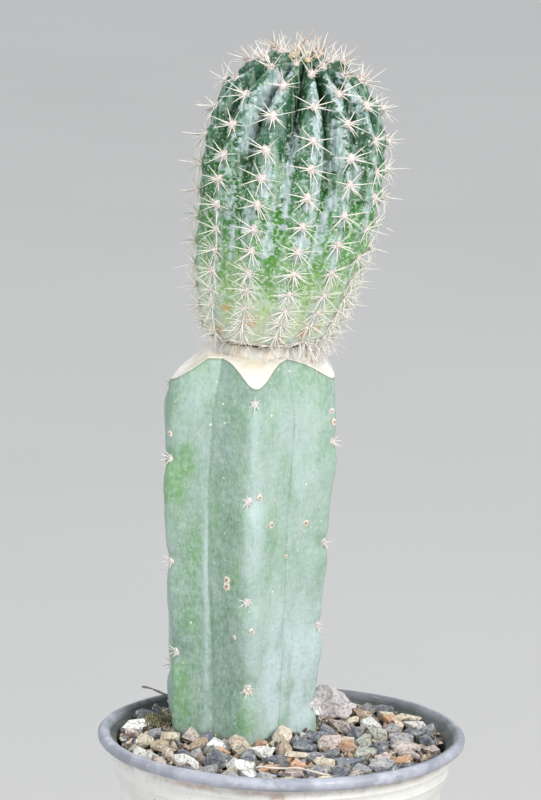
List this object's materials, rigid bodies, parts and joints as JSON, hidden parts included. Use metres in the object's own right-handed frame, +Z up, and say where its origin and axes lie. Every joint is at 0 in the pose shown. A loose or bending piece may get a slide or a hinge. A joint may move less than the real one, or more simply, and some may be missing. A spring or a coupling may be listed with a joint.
{
  "type": "potted echinopsis",
  "caption": "Tapered round plant pot of gravel-topped soil; a ribbed columnar cactus stock stands in it and carries a grafted, ribbed, spiny cactus head.",
  "frame": {"origin": "centre of the pot's foot, on the surface that the pot stands on", "axes": "+Z up along the pot's axis, -Y towards the side that the picture shows, +X to its right"},
  "size_m": [0.1, 0.1, 0.2759],
  "materials": {
    "pot_plastic": "satin",
    "potting_mix": "matte",
    "gravel_chips": "matte",
    "stem_skin": "satin",
    "head_skin": "satin"
  },
  "bodies": {
    "root": {"pot": "pot_plastic", "potting_soil": "potting_mix", "gravel": "gravel_chips", "rootstock": "stem_skin", "echinopsis_head": "head_skin"}
  },
  "joints": []
}
